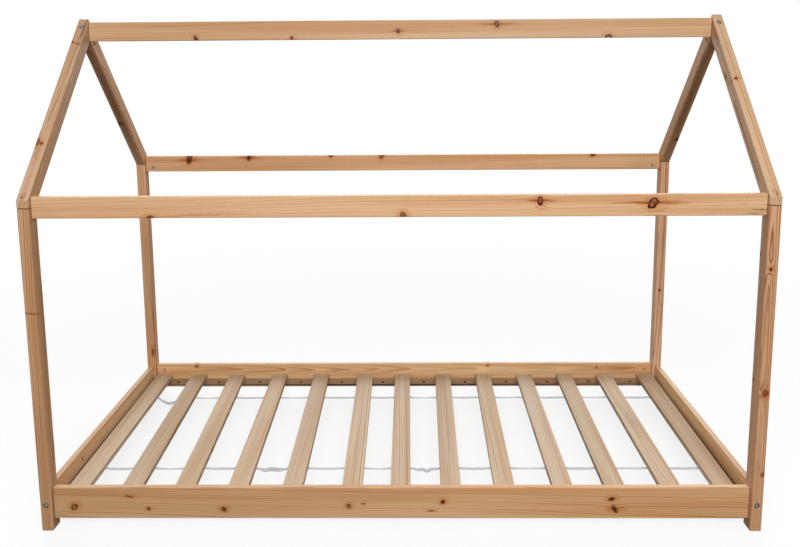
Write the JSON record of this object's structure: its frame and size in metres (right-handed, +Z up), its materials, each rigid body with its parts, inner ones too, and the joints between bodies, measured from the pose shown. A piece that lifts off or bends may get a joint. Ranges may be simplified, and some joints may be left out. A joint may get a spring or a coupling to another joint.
{
  "type": "house frame bed",
  "caption": "Child's low bed in solid pine, its posts, rafters and ridge beam drawing the outline of a house, with loose slats across a shallow base.",
  "frame": {"origin": "on the floor, under the middle of the bed", "axes": "+X along the bed to the right gable, +Y across it from front to back, +Z up"},
  "size_m": [2.06, 0.98, 1.4715],
  "materials": {
    "bar_wood": "solid pine, planed and sanded, clear lacquer",
    "board_wood": "solid pine board with knots, planed and sanded, clear lacquer",
    "batten_wood": "planed pine, bare",
    "slat_wood": "planed pine, bare, slightly weathered",
    "dowel_wood": "turned beech, bare",
    "bolt_steel": "zinc plated",
    "nut_steel": "zinc plated",
    "screw_steel": "zinc plated, dulled",
    "tape": "white woven tape",
    "staple_wire": "galvanised wire"
  },
  "bodies": {
    "frame": {"apex_bolts": "bolt_steel", "apex_nuts": "nut_steel", "batten_back": "batten_wood", "batten_front": "batten_wood", "batten_screws": "screw_steel", "eave_board_back": "board_wood", "eave_board_bolts": "bolt_steel", "eave_board_dowels": "dowel_wood", "eave_board_front": "board_wood", "eave_board_nuts": "nut_steel", "end_board_bolts": "bolt_steel", "end_board_dowels": "dowel_wood", "end_board_left": "board_wood", "end_board_nuts": "nut_steel", "end_board_right": "board_wood", "post_back_left": "bar_wood", "post_back_right": "bar_wood", "post_front_left": "bar_wood", "post_front_right": "bar_wood", "rafter_back_left": "bar_wood", "rafter_back_right": "bar_wood", "rafter_foot_screws": "screw_steel", "rafter_front_left": "bar_wood", "rafter_front_right": "bar_wood", "ridge_beam": "board_wood", "ridge_bolts": "bolt_steel", "ridge_dowels": "dowel_wood", "ridge_nuts": "nut_steel", "side_board_back": "board_wood", "side_board_bolts": "bolt_steel", "side_board_dowels": "dowel_wood", "side_board_front": "board_wood", "side_board_nuts": "nut_steel"},
    "slat_roll": {"slat_01": "slat_wood", "slat_02": "slat_wood", "slat_03": "slat_wood", "slat_04": "slat_wood", "slat_05": "slat_wood", "slat_06": "slat_wood", "slat_07": "slat_wood", "slat_08": "slat_wood", "slat_09": "slat_wood", "slat_10": "slat_wood", "slat_11": "slat_wood", "slat_12": "slat_wood", "slat_13": "slat_wood", "slat_staples": "staple_wire", "slat_tape_back": "tape", "slat_tape_front": "tape"}
  },
  "joints": [
    {"name": "slat_roll_lift", "type": "slide", "parent": "frame", "child": "slat_roll", "axis": [0, 0, 1], "range_m": [0, 0.3]}
  ]
}
